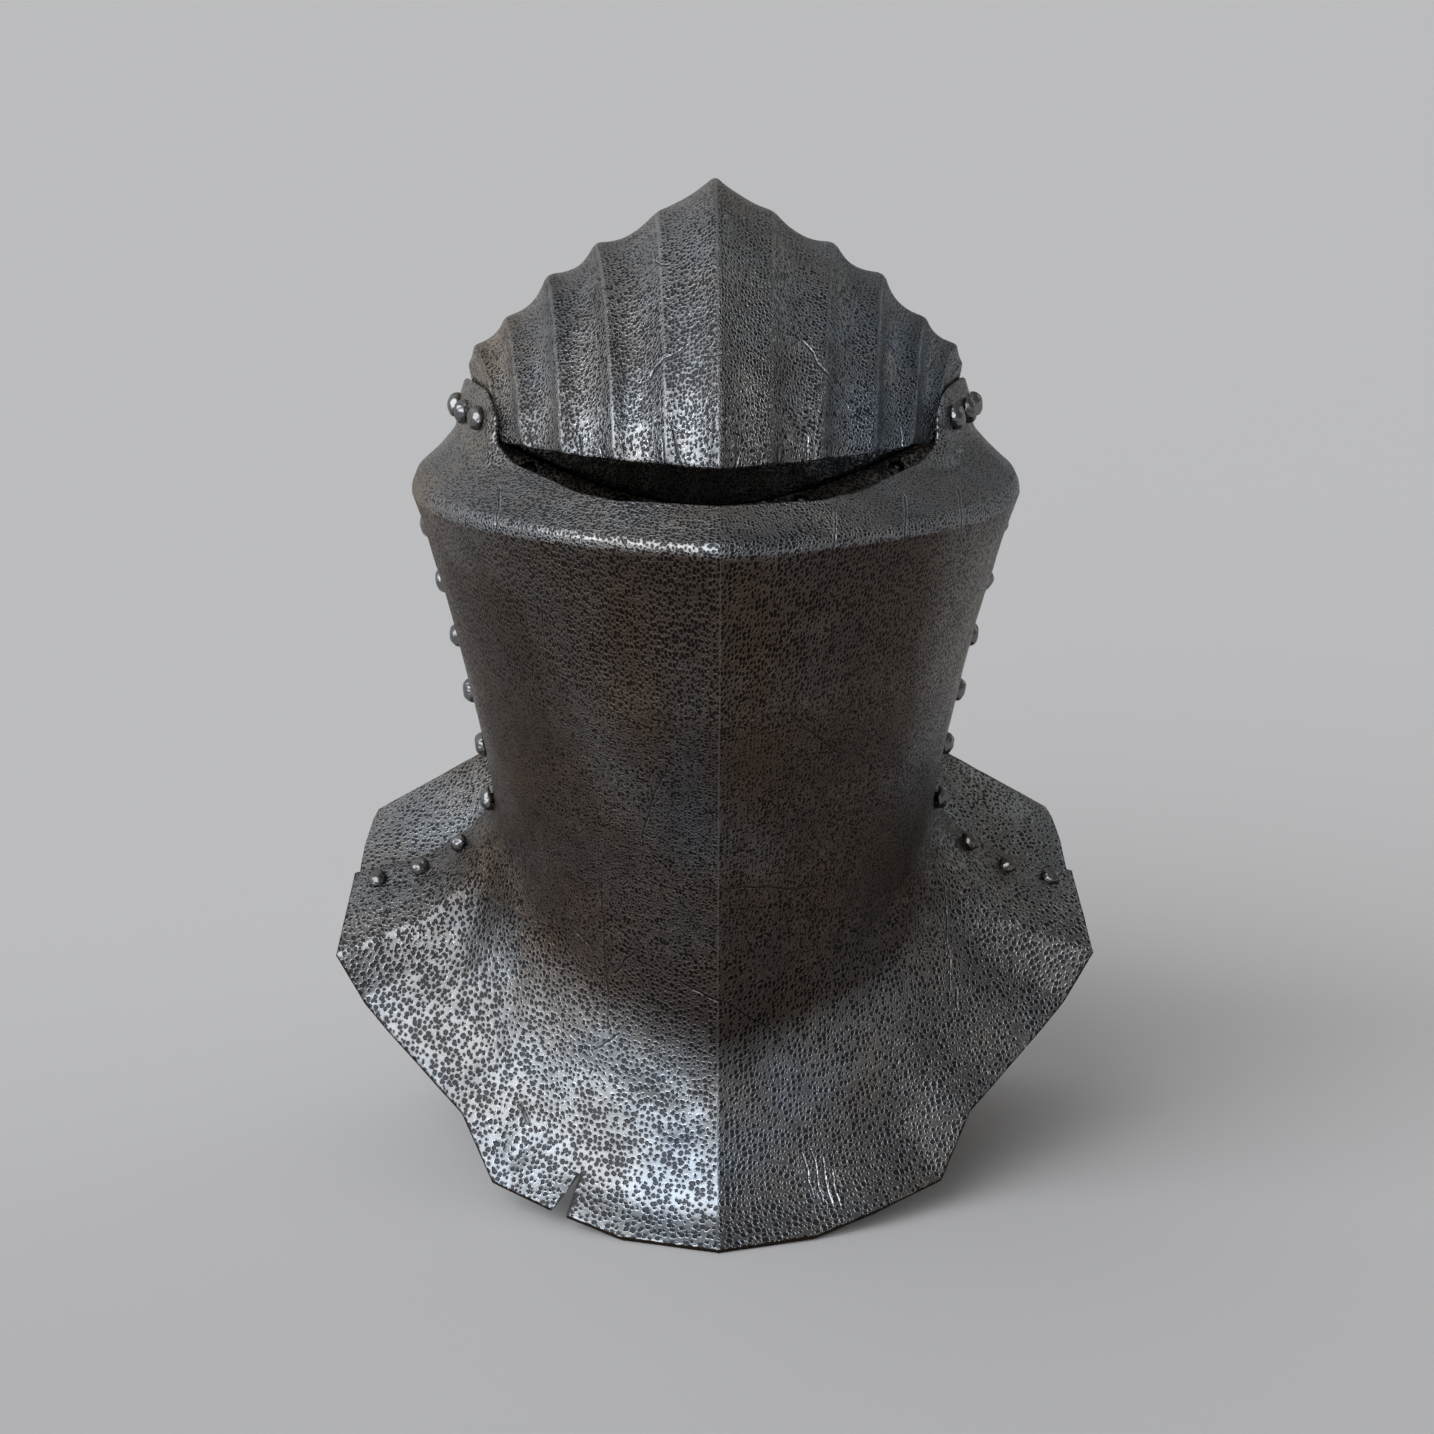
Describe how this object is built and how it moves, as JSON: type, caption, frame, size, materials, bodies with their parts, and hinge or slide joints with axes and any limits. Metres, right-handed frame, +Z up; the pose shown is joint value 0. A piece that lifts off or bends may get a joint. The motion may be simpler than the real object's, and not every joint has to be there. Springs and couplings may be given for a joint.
{
  "type": "frog-mouth jousting helm",
  "caption": "Steel jousting helm with a fluted, ridged crown, a jutting frog-mouth lip under a narrow sight, riveted side seams and a flared base with a worn lower rim.",
  "frame": {"origin": "bottom centre of the whole helm, on the floor that it stands on", "axes": "+Z up, the face looks along -Y, +X is the wearer's left"},
  "size_m": [0.353, 0.3249, 0.466],
  "materials": {
    "crown_steel": "dark aged steel, hammered and pitted all over, worn brighter on the crests",
    "front_steel": "dark aged steel, deeply pitted, with scratches and a brown lower rim",
    "back_steel": "dark aged steel, pitted",
    "rivet_steel": "worn steel, dark round the edges of the heads"
  },
  "bodies": {
    "root": {"back_plate": "back_steel", "front_plate": "front_steel", "nape_rivet_left_2": "rivet_steel", "nape_rivet_left_3": "rivet_steel", "nape_rivet_middle_1": "rivet_steel", "nape_rivet_right_2": "rivet_steel", "nape_rivet_right_3": "rivet_steel", "seam_rivet_left_1": "rivet_steel", "seam_rivet_left_2": "rivet_steel", "seam_rivet_left_3": "rivet_steel", "seam_rivet_left_4": "rivet_steel", "seam_rivet_left_5": "rivet_steel", "seam_rivet_left_6": "rivet_steel", "seam_rivet_right_1": "rivet_steel", "seam_rivet_right_2": "rivet_steel", "seam_rivet_right_3": "rivet_steel", "seam_rivet_right_4": "rivet_steel", "seam_rivet_right_5": "rivet_steel", "seam_rivet_right_6": "rivet_steel", "shoulder_rivet_left_1": "rivet_steel", "shoulder_rivet_left_2": "rivet_steel", "shoulder_rivet_left_3": "rivet_steel", "shoulder_rivet_right_1": "rivet_steel", "shoulder_rivet_right_2": "rivet_steel", "shoulder_rivet_right_3": "rivet_steel", "skull_plate": "crown_steel", "temple_rivet_left_1": "rivet_steel", "temple_rivet_left_2": "rivet_steel", "temple_rivet_left_3": "rivet_steel", "temple_rivet_right_1": "rivet_steel", "temple_rivet_right_2": "rivet_steel", "temple_rivet_right_3": "rivet_steel"}
  },
  "joints": []
}
